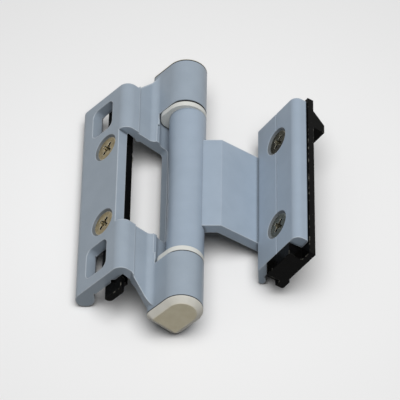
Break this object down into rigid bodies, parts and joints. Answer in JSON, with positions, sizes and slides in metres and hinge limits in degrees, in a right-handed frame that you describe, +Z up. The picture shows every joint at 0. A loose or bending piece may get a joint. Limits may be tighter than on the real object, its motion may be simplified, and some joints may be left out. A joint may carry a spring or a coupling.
{
  "type": "two-part door hinge",
  "caption": "Two-leaf surface-mounted door hinge with a cranked arm, round barrel between two domed knuckles, plastic packers and countersunk screws.",
  "frame": {"origin": "middle of the table surface under the open hinge", "axes": "+Y along the hinge pin, +Z up, +X from the frame leaf to the door leaf"},
  "size_m": [0.1064, 0.1448, 0.0302],
  "materials": {
    "painted_aluminium": "semi-gloss powder coat, light blue-grey",
    "black_plastic": "glossy black moulded plastic",
    "cream_plastic": "satin cream moulded plastic",
    "passivated_screw": "yellow passivated steel",
    "bronze_screw": "dark bronze passivated steel",
    "pin_steel": "ground steel"
  },
  "bodies": {
    "frame_half": {"frame_leaf": "painted_aluminium", "frame_packer": "black_plastic", "frame_screw_upper": "passivated_screw", "frame_screw_lower": "passivated_screw", "hinge_pin": "pin_steel", "knuckle_bush_upper": "cream_plastic", "knuckle_bush_lower": "cream_plastic", "end_cap_upper": "cream_plastic", "end_cap_lower": "cream_plastic"},
    "door_half": {"door_leaf": "painted_aluminium", "door_packer": "black_plastic", "door_screw_upper": "bronze_screw", "door_screw_lower": "bronze_screw", "barrel_bush_upper": "cream_plastic", "barrel_bush_lower": "cream_plastic"}
  },
  "joints": [
    {"name": "door_swing", "type": "hinge", "parent": "frame_half", "child": "door_half", "pos_m": [-0.00675, 0, 0.01585], "axis": [0, -1, 0], "range_deg": [0, 172.7]}
  ]
}
